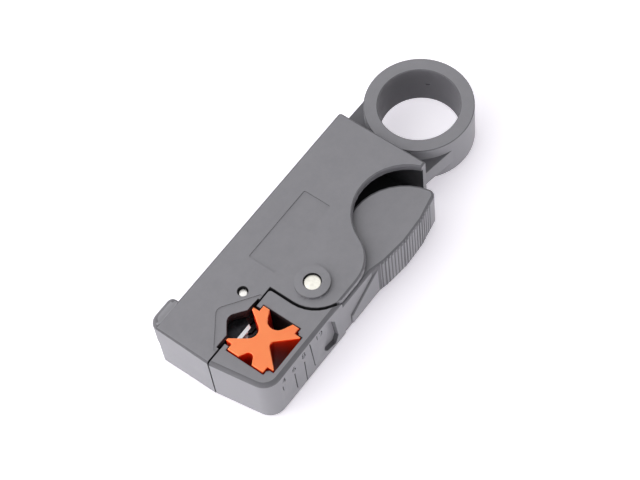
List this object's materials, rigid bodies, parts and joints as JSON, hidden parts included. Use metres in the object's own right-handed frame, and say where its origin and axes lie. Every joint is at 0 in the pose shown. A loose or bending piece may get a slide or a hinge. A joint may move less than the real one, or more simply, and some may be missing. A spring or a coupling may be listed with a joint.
{
  "type": "coaxial cable stripper",
  "caption": "Coaxial cable stripper with a finger ring, a sprung thumb lever, a lift-out V block that seats the cable and screw-set blades in the notched handle",
  "frame": {"origin": "centre of the tool's box, on the flat back face that it lies on", "axes": "+X from the jaw end to the finger ring, +Y from the jaw to the straight spine, +Z out of the front face"},
  "size_m": [0.1016, 0.0373, 0.0179],
  "materials": {
    "body_plastic": "moulded dark grey plastic, fine grained",
    "lever_plastic": "moulded grey plastic, smooth",
    "orange_plastic": "moulded orange plastic, satin",
    "rivet_steel": "turned pale steel",
    "blade_steel": "ground blade steel, honed edge",
    "screw_steel": "black oxide steel",
    "nut_brass": "drawn brass bar",
    "spring_steel": "drawn spring wire",
    "spacer_plastic": "moulded black plastic"
  },
  "bodies": {
    "handle": {"main_body": "body_plastic", "pivot_rivet": "rivet_steel", "blade_pin": "rivet_steel", "blade_spacer_1": "spacer_plastic", "blade_spacer_2": "spacer_plastic", "blade_spacer_3": "spacer_plastic", "blade_spacer_4": "spacer_plastic", "nut_plate": "nut_brass", "return_spring": "spring_steel"},
    "lever": {"jaw_lever": "lever_plastic"},
    "block": {"v_block": "orange_plastic"},
    "cutter_top": {"blade_top": "blade_steel"},
    "cutter_middle": {"blade_middle": "blade_steel"},
    "cutter_bottom": {"blade_bottom": "blade_steel"},
    "screw_top": {"set_screw_top": "screw_steel"},
    "screw_middle": {"set_screw_middle": "screw_steel"},
    "screw_bottom": {"set_screw_bottom": "screw_steel"}
  },
  "joints": [
    {"name": "lever_pivot", "type": "hinge", "parent": "handle", "child": "lever", "pos_m": [-0.0199, -0.00785, 0.0085], "axis": [0, 0, 1], "range_deg": [0, 12], "stiffness_Nm_per_rad": 0.5, "springref_deg": -8.59},
    {"name": "block_lift", "type": "slide", "parent": "lever", "child": "block", "axis": [0, 0, 1], "range_m": [0, 0.0165]},
    {"name": "blade_top_depth", "type": "slide", "parent": "handle", "child": "cutter_top", "axis": [0, 1, 0], "range_m": [-0.0008, 0.0008]},
    {"name": "blade_middle_depth", "type": "slide", "parent": "handle", "child": "cutter_middle", "axis": [0, 1, 0], "range_m": [-0.0008, 0.0008]},
    {"name": "blade_bottom_depth", "type": "slide", "parent": "handle", "child": "cutter_bottom", "axis": [0, 1, 0], "range_m": [-0.0008, 0.0008]},
    {"name": "screw_top_turn", "type": "hinge", "parent": "cutter_top", "child": "screw_top", "pos_m": [-0.0384, 0.01, 0.0127], "axis": [0, 1, 0], "range_deg": [-577, 577]},
    {"name": "screw_middle_turn", "type": "hinge", "parent": "cutter_middle", "child": "screw_middle", "pos_m": [-0.0384, 0.01, 0.0085], "axis": [0, 1, 0], "range_deg": [-577, 577]},
    {"name": "screw_bottom_turn", "type": "hinge", "parent": "cutter_bottom", "child": "screw_bottom", "pos_m": [-0.0384, 0.01, 0.0043], "axis": [0, 1, 0], "range_deg": [-577, 577]}
  ],
  "couplings": [
    {"joint": "screw_top_turn", "follows": "blade_top_depth", "rad_per_m": 12566},
    {"joint": "screw_middle_turn", "follows": "blade_middle_depth", "rad_per_m": 12566},
    {"joint": "screw_bottom_turn", "follows": "blade_bottom_depth", "rad_per_m": 12566}
  ]
}
